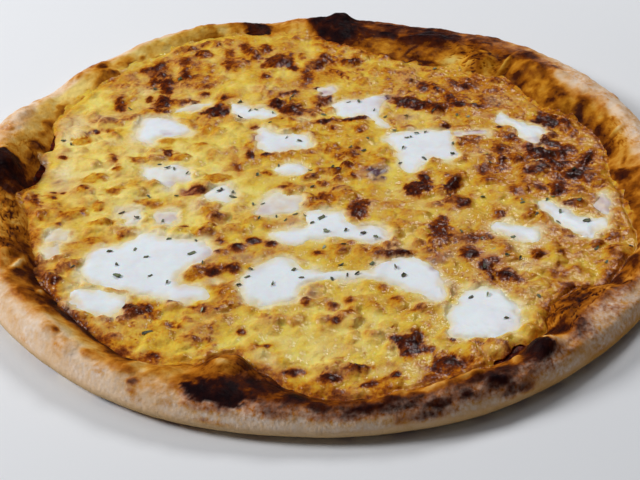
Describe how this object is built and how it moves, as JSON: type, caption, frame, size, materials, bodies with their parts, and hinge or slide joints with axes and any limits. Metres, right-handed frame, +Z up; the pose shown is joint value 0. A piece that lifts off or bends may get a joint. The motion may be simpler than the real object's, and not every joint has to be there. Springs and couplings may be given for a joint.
{
  "type": "four cheese pizza",
  "caption": "Round uncut pizza: a flat dough disc with an uneven raised browned rim, tomato sauce, blistered melted cheese and white pools of soft cheese with herb flakes.",
  "frame": {"origin": "middle of the flat underside, on the surface that the pizza lies on", "axes": "+Z up, square to the underside; +X to the right and +Y away, as the reference picture shows the pizza"},
  "size_m": [0.3071, 0.3084, 0.0183],
  "materials": {
    "crust": "baked dough, floury and matte, browned to black at the crest",
    "sauce": "cooked tomato sauce, moist",
    "melted_cheese": "melted yellow cheese, oily, with golden to dark brown blisters and dark green herb flakes",
    "soft_cheese": "white soft cheese, moist and smooth, with dark green herb flakes"
  },
  "bodies": {
    "root": {"dough": "crust", "tomato_sauce": "sauce", "melted_cheese": "melted_cheese", "soft_cheese_01": "soft_cheese", "soft_cheese_02": "soft_cheese", "soft_cheese_03": "soft_cheese", "soft_cheese_04": "soft_cheese", "soft_cheese_05": "soft_cheese", "soft_cheese_06": "soft_cheese", "soft_cheese_07": "soft_cheese", "soft_cheese_08": "soft_cheese", "soft_cheese_09": "soft_cheese", "soft_cheese_10": "soft_cheese", "soft_cheese_11": "soft_cheese", "soft_cheese_12": "soft_cheese", "soft_cheese_13": "soft_cheese", "soft_cheese_14": "soft_cheese", "soft_cheese_15": "soft_cheese", "soft_cheese_16": "soft_cheese", "soft_cheese_17": "soft_cheese", "soft_cheese_18": "soft_cheese", "soft_cheese_19": "soft_cheese", "soft_cheese_20": "soft_cheese", "soft_cheese_21": "soft_cheese", "soft_cheese_22": "soft_cheese", "soft_cheese_23": "soft_cheese", "soft_cheese_24": "soft_cheese", "soft_cheese_25": "soft_cheese"}
  },
  "joints": []
}
